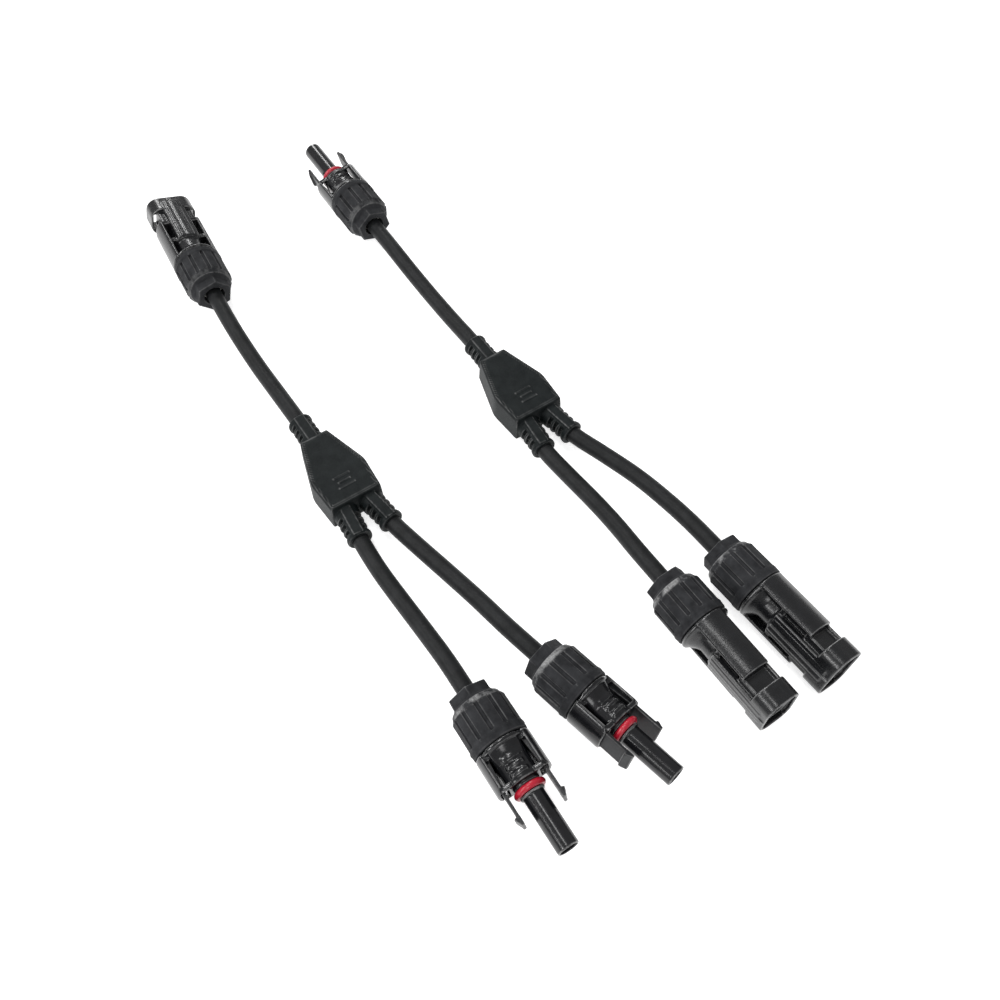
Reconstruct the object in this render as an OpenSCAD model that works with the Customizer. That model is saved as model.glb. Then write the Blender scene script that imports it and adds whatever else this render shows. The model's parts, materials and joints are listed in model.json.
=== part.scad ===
// Matched pair of solar branch leads.
// Lead A: one socket connector on its stem, two plug connectors on its branches.
// Lead B: one plug connector on its stem, two socket connectors on its branches.
// X runs along the leads, from stem to branches. Z is up and the leads lie on z = 0.
// Inside a connector, x runs forward from the back of its gland nut, on its own axis.

/* [Cable] */
// Outside diameter of the cable jacket
cable_d = 6.2; // [5:0.1:6.6]
// Diameter of the stranded conductor
core_d = 2.3; // [1.8:0.1:2.6]
// Sides of a cable tube
cable_sides = 12; // [8:1:12]

/* [Gland nut] */
// Outside diameter of the nut
nut_d = 19.2; // [18.6:0.1:20]
// Length of the nut over its hexagonal collar
nut_len = 20; // [19:0.5:21]
// Grip grooves around the nut
nut_grooves = 12; // [8:1:16]
// Hexagonal collar across its corners
hex_d = 15.2; // [14:0.1:16]
// Length of the hexagonal collar
hex_len = 3.6; // [3:0.1:4]
// Hole that the cable passes through
nut_hole_d = 8.2; // [8:0.1:9]
// Outside diameter of the housing's threaded neck
thread_d = 14.8; // [14:0.1:15]
// Radial play between neck and nut
thread_play = 0.35; // [0.3:0.05:0.5]

/* [Connector fronts] */
// Nut back to the tip of a plug's barrel
plug_len = 56.5; // [55:0.5:58]
// Nut back to the front face of a plug's body
plug_face = 33.5; // [33:0.5:34]
// Outside diameter of a plug's barrel
barrel_d = 7.3; // [7:0.1:7.6]
// Nut back to the mouth of a socket
socket_len = 56.5; // [56:0.5:58]
// Width of a socket's head across its latch channels
head_w = 18.8; // [18:0.1:19.2]
// Height of a socket's head
head_h = 13.2; // [12.8:0.1:14]
// Diameter of the contact pin
pin_d = 4; // [3.9:0.05:4.1]

/* [Latch arms] */
// Width of a latch arm
latch_w = 7.4; // [6:0.1:7.6]
// Thickness of a latch arm
latch_t = 1.1; // [1:0.05:1.2]
// Connector axis to the inner face of a latch arm
latch_in = 6.85; // [6.8:0.05:7]
// Nut back to the tip of a latch arm
latch_tip = 44; // [43.5:0.5:45]

/* [Branch block] */
// Length of the block without its sleeves
block_len = 32; // [30:0.2:33]
// Width at the stem end
block_w1 = 11.2; // [10:0.2:12]
// Width across the shoulders
block_w2 = 22; // [20:0.2:23]
// Height of the block
block_h = 12.6; // [12:0.2:13]
// Length of a bend-relief sleeve
sleeve_len = 12.5; // [12:0.5:14]
// Outside diameter of a sleeve at the block
sleeve_d = 9.6; // [9:0.1:10]

/* [Hidden] */
eps = 0.02;
$fn = 64;

// Each connector: name, kind, back of its nut, turn about Z, roll about its own axis
A_STEM = ["a_stem", "socket", [-100.6, -42.7, 9.75], 175, 15];
A_BRANCH1 = ["a_branch1", "plug", [96.9, -49.7, 9.75], -1.5, 8];
A_BRANCH2 = ["a_branch2", "plug", [98.9, -23.6, 9.75], 12, -16];
B_STEM = ["b_stem", "plug", [-99.2, 30.3, 9.75], 179, -12];
B_BRANCH1 = ["b_branch1", "socket", [99.9, 26.5, 9.75], 1, 90];
B_BRANCH2 = ["b_branch2", "socket", [100.9, 49.3, 9.75], 3, 72];
ENDS = [A_STEM, A_BRANCH1, A_BRANCH2, B_STEM, B_BRANCH1, B_BRANCH2];

// Each block: lead name, middle of its stem end on the surface below
A_BLOCK = ["a", [-16.3, -43.4, 0]];
B_BLOCK = ["b", [-12.1, 31.5, 0]];
BLOCKS = [A_BLOCK, B_BLOCK];

// Cable routes, from inside the block to inside the connector
ROUTES = [
    ["a_stem_cable", [
        [-8.3, -43.4, 6.3], [-19.6, -43.4, 6.3], [-30.6, -43.4, 6.3], [-45.6, -43.7, 6.3],
        [-60.6, -44.1, 6.9], [-75.6, -44.1, 8.3], [-89.6, -43.6, 9.75], [-104.6, -42.3, 9.75],
        [-119, -41.1, 9.75]]],
    ["a_branch1_cable", [
        [7.7, -47.7, 6.3], [18.4, -48.6, 6.3], [29.4, -49.6, 6.3], [42.4, -50.1, 6.3], [56.4, -49.8, 6.9],
        [70.4, -49.5, 8.3], [84.4, -49.4, 9.75], [100.9, -49.8, 9.75], [115.4, -50.2, 9.75]]],
    ["a_branch2_cable", [
        [7.8, -39.5, 6.3], [18.4, -38, 6.3], [29.4, -36.5, 6.3], [42.4, -33.9, 6.3], [56.4, -31.1, 6.9],
        [70.4, -28.7, 8.3], [85.4, -26.5, 9.75], [102.8, -22.8, 9.75], [117, -19.7, 9.75]]],
    ["b_stem_cable", [
        [-4.1, 31.5, 6.3], [-15.6, 31.5, 6.3], [-26.6, 31.5, 6.3], [-40.6, 31.1, 6.3], [-55.6, 30.7, 6.9],
        [-70.6, 30.3, 8.3], [-84.6, 30.1, 9.75], [-103.2, 30.4, 9.75], [-117.7, 30.6, 9.75]]],
    ["b_branch1_cable", [
        [11.9, 27.2, 6.3], [22.4, 26.3, 6.3], [33.4, 25.4, 6.3], [46.4, 26.2, 6.3], [60.4, 27.1, 6.9],
        [73.4, 27, 8.3], [86.4, 26.3, 9.75], [103.9, 26.6, 9.75], [118.4, 26.8, 9.75]]],
    ["b_branch2_cable", [
        [12, 35.4, 6.3], [22.4, 36.9, 6.3], [33.4, 38.5, 6.3], [46.4, 42.5, 6.3], [60.4, 46.1, 6.9],
        [73.4, 47.7, 8.3], [87.4, 48.6, 9.75], [104.9, 49.5, 9.75], [119.4, 50.3, 9.75]]]
];

// Names of the nodes of every plug, every socket and every block
PLUG_PARTS = ["housing", "latch_left", "latch_right", "o_ring", "socket_contact",
    "cable_seal", "clamp_ring", "gland_nut"];
SOCKET_PARTS = ["housing", "pin_contact", "cable_seal", "clamp_ring", "gland_nut"];
BLOCK_PARTS = ["branch_block", "splice", "conductors"];

// Nut stations: shoulder, grip grooves, and the bore that narrows onto the clamp ring
shoulder_end = 6.6;
groove_start = 6.4;
groove_len = nut_len - 9;
groove_w = 1.4;
groove_depth = 0.5;
nut_cone_start = 3.4;
nut_cone_end = 7.4;
nut_cone_d = 13.9;

// Clamp ring and cable seal, from the nut's back to the neck
clamp_start = 4.5;
clamp_land = 9.7;
clamp_end = 12.4;
clamp_small_d = 8.8;
clamp_d = 11.7;
clamp_slot = 0.8;
seal_start = 12.6;
seal_end = 17.5;
seal_groove_r = 0.4;

// Neck, cavity and contact stations along a connector's axis
neck_start = 9;
neck_end = nut_len + 0.3;
cavity_end = 17.6;
cavity_r = 6.1;
jacket_end = 18.5;
contact_back = 18.9;
crimp_start = 19.6;
crimp_end = 26.4;
crimp_d = 4.2;
contact_r = 2.45;
contact_bore_r = 2.7;
slit_w = 0.4;
core_end = 25;

// Plug body between the nut and its face: a cone, then a round core with flat sides
body_r = 6.4;
body_w = 10.6;
body_cone_end = 26;
wing_in = 7;
wing_half = 5.8;
wing_chamfer = 1.6;
web_half = 5.4;
web_in = 4;
web_out = 7.4;
web_end = 23;
// Plain bars in relief on the top and bottom of the body, rooted 1 mm deep
bar_start = 25.4;
bar_step = 2.6;
bar_size = [1.2, 5.2, 1.45];

// O-ring seat in front of a plug's body
seat_start = plug_face + 1.1;
oring_t = 2.2;
seat_end = seat_start + oring_t + 0.2;
seat_r = 3.25;

// Latch stations: where an arm's catch faces back, and the pocket it stands in
catch_x = 41.2;
catch_rise = 1.05;
pocket_in = 5.6;
pocket_out = 8.3;
pocket_half = 4.15;
pocket_floor = web_half - 0.1 - pocket_half;

// Socket stations: a bulge behind a round waist, then a flat core between two cheek panels
bulge_end = 21.2;
waist_start = 25;
waist_r = 5.9;
core_start = 30.6;
core_w = 8.6;
cheek_in = 7;
cheek_half = 5.3;
cheek_end = 43.3;
cheek_webs = [[neck_end, 22.5], [core_start, 32.6], [41.5, cheek_end]];
neck_box_w = 14;
neck_box_h = 10.4;
head_start = socket_len - 7.4;
head_r = 4.8;
channel_in = 5.75;
channel_out = 8.35;
channel_half = 4;
window_in = 6.4;
window_half = 4.2;
receptacle_start = socket_len - 23.5;
receptacle_r = 4.05;
mouth_r = 5.25;
tube_r = 5.3;
pin_end = socket_len - 4;
pin_flange_end = 28.6;
pin_flange_d = 5.3;

// Branch block stations
block_shoulder = 18.5;
branch_y = 5;
branch_turns = [-5, 8];
cable_z = block_h / 2;
parting_z = 2.2;
mark_start = 21;
mark_step = 2.2;
mark_size = [0.9, 9.2, 0.7];
slot_start = 3.4;
slot_step = 2.8;
slot_w = 1.3;
spine_half = 2.2;
splice_box = [7.8, 10, 3.2];
splice_start = 11.6;
strand_start = 8;
strand_end = 12.8;

// ---------- placing ----------

module at_end(e) {
    translate(e[2]) rotate([0, 0, e[3]]) rotate([e[4], 0, 0]) children();
}

// A round bar along x from a to b
module rod(a, b, d) {
    translate([a, 0, 0]) rotate([0, 90, 0]) cylinder(h = b - a, d = d);
}

// A taper along x from a to b
module taper(a, b, d1, d2) {
    translate([a, 0, 0]) rotate([0, 90, 0]) cylinder(h = b - a, d1 = d1, d2 = d2);
}

// A bar along x from a to b with the section given in y and z
module bar(a, b) {
    translate([a, 0, 0]) rotate([90, 0, 90]) linear_extrude(b - a) children();
}

// A rectangle with round corners, made of plain circles and squares
module rounded(w, h, r) {
    square([w - 2 * r, h], center = true);
    square([w, h - 2 * r], center = true);
    for (sx = [-1, 1]) for (sy = [-1, 1]) translate([sx * (w / 2 - r), sy * (h / 2 - r)]) circle(r);
}

// ---------- gland: nut, clamp ring, seal ----------

module gland_nut() color("#2b2c2e") difference() {
    union() {
        rotate([0, 90, 0]) cylinder(h = hex_len + 1, d = hex_d, $fn = 6);
        taper(hex_len, shoulder_end, hex_d * 0.93, nut_d);
        rod(shoulder_end, nut_len, nut_d);
    }
    for (i = [0 : nut_grooves - 1]) rotate([i * 360 / nut_grooves, 0, 0])
        translate([groove_start, -groove_w / 2, nut_d / 2 - groove_depth])
            cube([groove_len, groove_w, 4 * groove_depth]);
    rod(-1, nut_cone_start + 0.1, nut_hole_d);
    taper(nut_cone_start, nut_cone_end, nut_hole_d + 0.2, nut_cone_d);
    rod(nut_cone_end - eps, nut_len + 1, thread_d + 2 * thread_play);
}

module clamp_ring() color("#d8d8d2") difference() {
    union() {
        taper(clamp_start, clamp_land, clamp_small_d, clamp_d - 0.1);
        rod(clamp_land - 0.1, clamp_end, clamp_d);
    }
    rod(clamp_start - 1, clamp_end + 1, cable_d + 0.8);
    // Slots that let its fingers close on the cable
    for (i = [0 : 3]) rotate([i * 45, 0, 0]) translate([clamp_start - 1, -clamp_d / 2, -clamp_slot / 2])
        cube([clamp_land - clamp_start, clamp_d, clamp_slot]);
}

module cable_seal() color("#3a3a3a") difference() {
    rod(seal_start, seal_end, 2 * cavity_r - 0.1);
    rod(seal_start - 1, seal_end + 1, cable_d + 0.06);
    for (x = [seal_start + 1.4, seal_end - 1.5]) translate([x, 0, 0]) rotate([0, 90, 0])
        rotate_extrude() translate([cavity_r, 0]) circle(seal_groove_r);
}

// Threaded neck shared by both housings
module neck() {
    rod(neck_start, neck_end + 0.4, thread_d);
    taper(neck_end, neck_end + 1.4, nut_d - 1.2, nut_d - 2);
}

module neck_cavity() {
    rod(neck_start - 1, cavity_end, 2 * cavity_r);
    rod(cavity_end - eps, contact_back + 0.1, cable_d + 0.3);
}

// ---------- plug ----------

// Guard wing beside a latch arm, its outer face flush with the nut
module guard_wing() {
    tip = wing_half - wing_chamfer;
    intersection() {
        rod(neck_end, plug_face, nut_d);
        translate([0, wing_in + 3, 0]) rotate([90, 0, 0]) linear_extrude(3) polygon([
            [neck_end, -wing_half], [plug_face - wing_chamfer, -wing_half], [plug_face, -tip],
            [plug_face, tip], [plug_face - wing_chamfer, wing_half], [neck_end, wing_half]]);
    }
    // Webs that tie the wing to the body
    for (x = [[neck_end, web_end], [plug_face - 1.7, plug_face]])
        translate([x[0], web_in, -web_half]) cube([x[1] - x[0], web_out - web_in, 2 * web_half]);
}

module plug_housing() color("#17181a") difference() {
    union() {
        neck();
        intersection() {
            union() {
                rod(neck_end, plug_face, 2 * body_r);
                taper(neck_end, body_cone_end, nut_d - 1.2, 2 * body_r);
            }
            bar(neck_end, plug_face) square([body_w, nut_d], center = true);
        }
        for (i = [0 : 2]) for (s = [0, 180]) rotate([s, 0, 0])
            translate([bar_start + bar_step * i, -bar_size[1] / 2, body_r - 1]) cube(bar_size);
        for (s = [0, 180]) rotate([s, 0, 0]) guard_wing();
        // Floors that close the pockets from below
        for (s = [-1, 1]) translate([web_end - 1, s * 6 - 1.6, -web_half])
            cube([plug_face - web_end, 3.2, pocket_floor]);
        rod(plug_face - 1, seat_start, 9.2);
        rod(seat_start - 1, seat_end + 1, 2 * seat_r);
        rod(seat_end, seat_end + 0.8, 8.6);
        rod(seat_end + 0.5, plug_len, barrel_d);
    }
    neck_cavity();
    rod(contact_back, plug_len - 2.2, 2 * contact_bore_r);
    rod(plug_len - 2.3, plug_len + 1, 4.6);
    rod(plug_len - 1.2, plug_len + 1, 6);
    // Pockets that the latch arms stand in
    for (s = [0, 180]) rotate([s, 0, 0]) translate([neck_end + 1.2, pocket_in, -pocket_half])
        cube([plug_face, pocket_out - pocket_in, 2 * pocket_half]);
}

// Latch arm on the +y side; the other is the same arm turned over
module latch_arm() color("#26282a") intersection() {
    translate([0, 0, -latch_w / 2]) linear_extrude(latch_w) polygon([
        [neck_end + 1.5, latch_in], [latch_tip - 0.6, latch_in], [latch_tip, latch_in + 0.4],
        [latch_tip, latch_in + 0.8], [catch_x + 0.4, latch_in + latch_t + catch_rise],
        [catch_x, latch_in + latch_t + catch_rise], [catch_x, latch_in + latch_t],
        [neck_end + 1.5, latch_in + latch_t]]);
    rod(neck_end, latch_tip + 1, nut_d - 0.4);
}

module o_ring() color("#c8283c") translate([seat_start + 0.1 + oring_t / 2, 0, 0]) rotate([0, 90, 0])
    rotate_extrude() translate([seat_r + 0.05 + oring_t / 2, 0]) circle(oring_t / 2, $fn = 32);

module crimp_barrel() {
    difference() {
        rod(crimp_start, crimp_end + 1, crimp_d);
        rod(crimp_start - 1, crimp_end, core_d + 0.06);
    }
}

module socket_contact() color("#c9ccd0") {
    crimp_barrel();
    difference() {
        rod(crimp_end, plug_len - 2.6, 2 * contact_r);
        rod(plug_len - 19.5, plug_len, pin_d + 0.04);
        for (i = [0 : 1]) rotate([i * 90, 0, 0])
            translate([plug_len - 12, -5, -slit_w / 2]) cube([12, 10, slit_w]);
    }
}

// ---------- socket ----------

// Cheek panel on the +y side, flush with the nut, and the webs that carry it
module cheek() {
    intersection() {
        rod(neck_end, cheek_end, nut_d);
        translate([neck_end, cheek_in, -cheek_half]) cube([cheek_end - neck_end, 4, 2 * cheek_half]);
    }
    for (x = cheek_webs)
        translate([x[0], web_in, 0.3 - cheek_half]) cube([x[1] - x[0], 3.2, 2 * cheek_half - 0.6]);
}

module socket_core() {
    rod(neck_end, bulge_end, nut_d - 0.8);
    taper(bulge_end - eps, waist_start, nut_d - 0.8, 2 * waist_r);
    rod(waist_start - eps, core_start + 1, 2 * waist_r);
    rod(waist_start, socket_len - 1.5, 2 * tube_r);
    translate([core_start, -core_w / 2, -head_h / 2]) cube([socket_len - core_start - 2, core_w, head_h]);
    translate([cheek_end - 1, -neck_box_w / 2, -neck_box_h / 2])
        cube([head_start - cheek_end + 2, neck_box_w, neck_box_h]);
    // Ridge along the top and bottom
    for (s = [-1, 1]) translate([core_start, -0.5, s * head_h / 2 - 0.5])
        cube([socket_len - core_start, 1, 1]);
}

module socket_housing() color("#1d1f20") difference() {
    union() {
        neck();
        socket_core();
        for (s = [0, 180]) rotate([s, 0, 0]) cheek();
        bar(head_start, socket_len) rounded(head_w, head_h, head_r);
    }
    neck_cavity();
    rod(contact_back, pin_flange_end + 0.2, 2 * contact_bore_r + 0.1);
    rod(pin_flange_end - 0.6, receptacle_start + 1, 2 * contact_r + 0.1);
    rod(receptacle_start, head_start + 1, 2 * receptacle_r);
    rod(head_start + 0.3, socket_len + 1, 2 * mouth_r);
    bar(socket_len - 1.4, socket_len + 1) rounded(head_w - 2.2, head_h - 1.6, head_r - 0.4);
    // Channels that let the latch arms in, and windows where they catch
    for (s = [0, 180]) rotate([s, 0, 0]) {
        translate([cheek_end, channel_in, -channel_half])
            cube([socket_len, channel_out - channel_in, 2 * channel_half]);
        translate([cheek_end, window_in, -window_half])
            cube([head_start - cheek_end, 4, 2 * window_half]);
    }
}

module pin_contact() color("#c9ccd0") {
    crimp_barrel();
    rod(crimp_end, pin_flange_end, pin_flange_d);
    rod(pin_flange_end - 0.1, receptacle_start, 2 * contact_r);
    rod(receptacle_start - 1, pin_end - 1, pin_d);
    taper(pin_end - 1 - eps, pin_end, pin_d, 2.4);
}

// ---------- branch block ----------

// Outline of the block, drawn in by inset
module block_outline(inset) {
    w1 = block_w1 / 2 - inset;
    w2 = block_w2 / 2 - inset;
    polygon([
        [inset, -w1], [block_shoulder, -w2], [block_len - inset, 0.9 - w2],
        [block_len - inset, w2 - 0.9], [block_shoulder, w2], [inset, w1]]);
}

// Bend-relief sleeve that points along +x from the block's face
module sleeve() {
    difference() {
        union() {
            taper(-1, sleeve_len - 1.6, sleeve_d, sleeve_d - 0.6);
            taper(sleeve_len - 1.6 - eps, sleeve_len, sleeve_d, sleeve_d - 1);
        }
        // Slots from both sides leave a spine at the top and bottom
        for (i = [0 : 2]) for (s = [-1, 1])
            translate([slot_start + slot_step * i, s * (spine_half + 3) - 3, 1.2 - sleeve_d / 2])
                cube([slot_w, 6, sleeve_d - 2.4]);
    }
}

// Places what leaves the block: the stem's sleeve, then the two branches'
module at_exits() {
    translate([0, 0, cable_z]) rotate([0, 0, 180]) children();
    for (i = [0, 1]) translate([block_len, (2 * i - 1) * branch_y, cable_z])
        rotate([0, 0, branch_turns[i]]) children();
}

module branch_block() color("#232526") difference() {
    union() {
        hull() {
            linear_extrude(0.1) block_outline(1.8);
            translate([0, 0, parting_z]) linear_extrude(0.1) block_outline(-0.3);
            translate([0, 0, block_h - 1.3]) linear_extrude(0.1) block_outline(0.2);
            translate([0, 0, block_h - 0.1]) linear_extrude(0.1) block_outline(1.2);
        }
        at_exits() sleeve();
        // Plain raised bars
        for (i = [0 : 2]) translate([mark_start + mark_step * i, -mark_size[1] / 2, block_h - 0.4])
            cube(mark_size);
    }
    at_exits() rod(-strand_start - 0.2, sleeve_len + 1, cable_d + 0.04);
    at_exits() rod(-strand_end - 0.2, -strand_start, core_d + 0.1);
    // Room round the splice
    translate([splice_start - 0.2, -splice_box[1] / 2 - 0.2, cable_z - splice_box[2] / 2 - 0.2])
        cube(splice_box + [0.4, 0.4, 0.4]);
}

// Crimped ferrule that joins the three conductors
module splice() color("#b87333") difference() {
    translate([splice_start, -splice_box[1] / 2, cable_z - splice_box[2] / 2]) cube(splice_box);
    at_exits() rod(-strand_end - 0.2, -strand_start, core_d + 0.06);
}

// Bare ends of the conductors in one lead: three in the splice, three in the contacts
module conductors(b, ends) color("#c98a4b") {
    translate(b[1]) at_exits() rod(-strand_end, -strand_start - 0.05, core_d);
    for (e = ends) at_end(e) rod(jacket_end + 0.1, core_end, core_d);
}

// ---------- cable ----------

function unit(v) = v / norm(v);
function heading(p, i) = unit(p[min(i + 1, len(p) - 1)] - p[max(i - 1, 0)]);

// One ring of the tube, square to the route at point i
function ring(p, i, r, n) =
    let (t = heading(p, i), side = unit(cross(t, [0, 0, 1])), up = cross(side, t))
    [for (k = [0 : n - 1]) p[i] + r * (cos(360 * k / n) * side + sin(360 * k / n) * up)];

module tube(p, d, n) {
    m = len(p);
    points = [for (i = [0 : m - 1]) each ring(p, i, d / 2, n)];
    sides = [for (i = [0 : m - 2]) for (k = [0 : n - 1])
        [i * n + k, i * n + (k + 1) % n, (i + 1) * n + (k + 1) % n, (i + 1) * n + k]];
    first = [for (k = [n - 1 : -1 : 0]) k];
    last = [for (k = [0 : n - 1]) (m - 1) * n + k];
    polyhedron(points, concat([first], sides, [last]));
}

module cable(route) color("#3a3b3d") tube(route, cable_d, cable_sides);

// ---------- the two leads ----------

for (e = ENDS) at_end(e) {
    gland_nut();
    clamp_ring();
    cable_seal();
}

for (e = ENDS) if (e[1] == "plug") at_end(e) {
    plug_housing();
    latch_arm();
    rotate([180, 0, 0]) latch_arm();
    o_ring();
    socket_contact();
}

for (e = ENDS) if (e[1] == "socket") at_end(e) {
    socket_housing();
    pin_contact();
}

for (b = BLOCKS) translate(b[1]) {
    branch_block();
    splice();
}

conductors(A_BLOCK, [A_STEM, A_BRANCH1, A_BRANCH2]);  // a_conductors
conductors(B_BLOCK, [B_STEM, B_BRANCH1, B_BRANCH2]);  // b_conductors

for (r = ROUTES)
    cable(r[1]);
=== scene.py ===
import json
import math

import bpy
import numpy as np
from mathutils import Matrix, Vector


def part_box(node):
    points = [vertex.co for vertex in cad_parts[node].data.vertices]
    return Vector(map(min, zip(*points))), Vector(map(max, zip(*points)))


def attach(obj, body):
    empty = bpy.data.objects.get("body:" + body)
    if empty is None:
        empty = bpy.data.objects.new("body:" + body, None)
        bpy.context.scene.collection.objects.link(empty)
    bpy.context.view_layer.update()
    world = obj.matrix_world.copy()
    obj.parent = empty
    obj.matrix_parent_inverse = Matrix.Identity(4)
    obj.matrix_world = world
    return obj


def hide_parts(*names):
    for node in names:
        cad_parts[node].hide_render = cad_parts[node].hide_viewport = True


# A matched pair of solar branch leads. Sizes are in millimetres until a mesh or a place is made.
MM = 0.001

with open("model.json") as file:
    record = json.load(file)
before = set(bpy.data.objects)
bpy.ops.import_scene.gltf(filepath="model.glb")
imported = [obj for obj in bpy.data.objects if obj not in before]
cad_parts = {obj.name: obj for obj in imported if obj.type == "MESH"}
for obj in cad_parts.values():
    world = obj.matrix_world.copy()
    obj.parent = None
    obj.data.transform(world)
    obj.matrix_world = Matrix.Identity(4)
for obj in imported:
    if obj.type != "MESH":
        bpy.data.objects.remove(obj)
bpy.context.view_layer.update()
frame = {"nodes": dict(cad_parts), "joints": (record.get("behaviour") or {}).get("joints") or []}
nodes = frame["nodes"]
joints = {joint["name"]: joint for joint in frame["joints"]}
scene = bpy.context.scene

# Each connector: its kind and its roll about its own axis, in degrees
ENDS = {
    "a_stem": ("socket", 15),
    "a_branch1": ("plug", 8),
    "a_branch2": ("plug", -16),
    "b_stem": ("plug", -12),
    "b_branch1": ("socket", 90),
    "b_branch2": ("socket", 72),
}


# ---------- camera ----------

LOOK_AT = Vector((0.0379, 0.002, 0))
CAMERA_TURN = math.radians(56.2)
CAMERA_ABOVE = math.radians(58.04)
CAMERA_AWAY = 0.3747
LENS_MM = 37.2

camera_data = bpy.data.cameras.new("camera")
camera_data.lens = LENS_MM
camera_data.sensor_width = 36
camera_data.clip_start = 0.01
camera_data.clip_end = 20
camera = bpy.data.objects.new("camera", camera_data)
scene.collection.objects.link(camera)
away = Vector((
    math.sin(CAMERA_TURN) * math.cos(CAMERA_ABOVE),
    -math.cos(CAMERA_TURN) * math.cos(CAMERA_ABOVE),
    math.sin(CAMERA_ABOVE),
))
camera.location = LOOK_AT + away * CAMERA_AWAY
camera.rotation_euler = away.to_track_quat("Z", "Y").to_euler()
scene.camera = camera


# ---------- cords ----------

CABLE_D = 6.2

# The points that each cable runs through, from its branch block to its connector
ROUTES = {
    "a_stem": [
        (-8.3, -43.4, 6.3), (-19.6, -43.4, 6.3), (-30.6, -43.4, 6.3), (-45.6, -43.7, 6.3),
        (-60.6, -44.1, 6.9), (-75.6, -44.1, 8.3), (-89.6, -43.6, 9.75), (-104.6, -42.3, 9.75),
        (-119, -41.1, 9.75)],
    "a_branch1": [
        (7.7, -47.7, 6.3), (18.4, -48.6, 6.3), (29.4, -49.6, 6.3), (42.4, -50.1, 6.3), (56.4, -49.8, 6.9),
        (70.4, -49.5, 8.3), (84.4, -49.4, 9.75), (100.9, -49.8, 9.75), (115.4, -50.2, 9.75)],
    "a_branch2": [
        (7.8, -39.5, 6.3), (18.4, -38, 6.3), (29.4, -36.5, 6.3), (42.4, -33.9, 6.3), (56.4, -31.1, 6.9),
        (70.4, -28.7, 8.3), (85.4, -26.5, 9.75), (102.8, -22.8, 9.75), (117, -19.7, 9.75)],
    "b_stem": [
        (-4.1, 31.5, 6.3), (-15.6, 31.5, 6.3), (-26.6, 31.5, 6.3), (-40.6, 31.1, 6.3), (-55.6, 30.7, 6.9),
        (-70.6, 30.3, 8.3), (-84.6, 30.1, 9.75), (-103.2, 30.4, 9.75), (-117.7, 30.6, 9.75)],
    "b_branch1": [
        (11.9, 27.2, 6.3), (22.4, 26.3, 6.3), (33.4, 25.4, 6.3), (46.4, 26.2, 6.3), (60.4, 27.1, 6.9),
        (73.4, 27, 8.3), (86.4, 26.3, 9.75), (103.9, 26.6, 9.75), (118.4, 26.8, 9.75)],
    "b_branch2": [
        (12, 35.4, 6.3), (22.4, 36.9, 6.3), (33.4, 38.5, 6.3), (46.4, 42.5, 6.3), (60.4, 46.1, 6.9),
        (73.4, 47.7, 8.3), (87.4, 48.6, 9.75), (104.9, 49.5, 9.75), (119.4, 50.3, 9.75)],
}
STEPS_A_SPAN = 4


def smooth_path(points):
    """Catmull-Rom curve through the points, with STEPS_A_SPAN steps between two of them."""
    p = [Vector(q) for q in points]
    p = [2 * p[0] - p[1], *p, 2 * p[-1] - p[-2]]
    path = []
    for i in range(1, len(p) - 2):
        for s in range(STEPS_A_SPAN):
            t = s / STEPS_A_SPAN
            path.append(0.5 * (
                2 * p[i] + (p[i + 1] - p[i - 1]) * t
                + (2 * p[i - 1] - 5 * p[i] + 4 * p[i + 1] - p[i + 2]) * t ** 2
                + (3 * p[i] - p[i - 1] - 3 * p[i + 1] + p[i + 2]) * t ** 3))
    return path + [p[-2]]


def cable_curve(name, points):
    """A round cable through the points, and its length in metres."""
    curve = bpy.data.curves.new(name, "CURVE")
    curve.dimensions = "3D"
    # The tube's radius is set on the points, because Blender grows a curve's box by it
    curve.bevel_depth = 1
    curve.bevel_resolution = 7
    curve.use_fill_caps = True
    spline = curve.splines.new("POLY")
    path = smooth_path(points)
    spline.points.add(len(path) - 1)
    for point, place in zip(spline.points, path):
        point.co = (*(place * MM), 1)
        point.radius = CABLE_D / 2 * MM
    spline.use_smooth = True
    piece = bpy.data.objects.new(name, curve)
    scene.collection.objects.link(piece)
    length = sum((b - a).length for a, b in zip(path, path[1:])) * MM
    return piece, length


cables = {}
cable_lengths = {}
for end, points in ROUTES.items():
    piece, cable_lengths[end] = cable_curve(end + "_jacket", points)
    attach(piece, "lead_" + end[0])
    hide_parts(end + "_cable")
    cables[end] = piece


# ---------- distance fields ----------
# A shape is a field of distances in mm on a grid: below zero inside the shape. Fields join and cut
# each other with a blend k, which leaves a moulded fillet, and skin() wraps a mesh round the result.

# Outward bend of a surface, per mm, at which its edge starts to be painted lighter, as rubbing and painted
# highlight, and is fully lightened
EDGE_FLAT = 1
EDGE_SHARP = 2.6


def round_box(p, low, high, r=0.0):
    """A box between two corners with its edges rounded by r."""
    q = [abs(v - (a + b) / 2) - ((b - a) / 2 - r) for v, a, b in zip(p, low, high)]
    outside = np.sqrt(sum(np.maximum(v, 0) ** 2 for v in q))
    return outside + np.minimum(np.maximum(np.maximum(q[0], q[1]), q[2]), 0) - r


def round_rod(p, a, b, radius, r=0.0):
    """A rod along x from a to b with its rims rounded by r."""
    u = abs(p[0] - (a + b) / 2) - ((b - a) / 2 - r)
    v = np.hypot(p[1], p[2]) - (radius - r)
    return np.hypot(np.maximum(u, 0), np.maximum(v, 0)) + np.minimum(np.maximum(u, v), 0) - r


def cone(p, a, b, ra, rb):
    """A cone along x from radius ra at a to rb at b."""
    slope = (rb - ra) / (b - a)
    side = (np.hypot(p[1], p[2]) - (ra + slope * (p[0] - a))) / math.hypot(1, slope)
    return np.maximum(side, np.maximum(a - p[0], p[0] - b))


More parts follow.
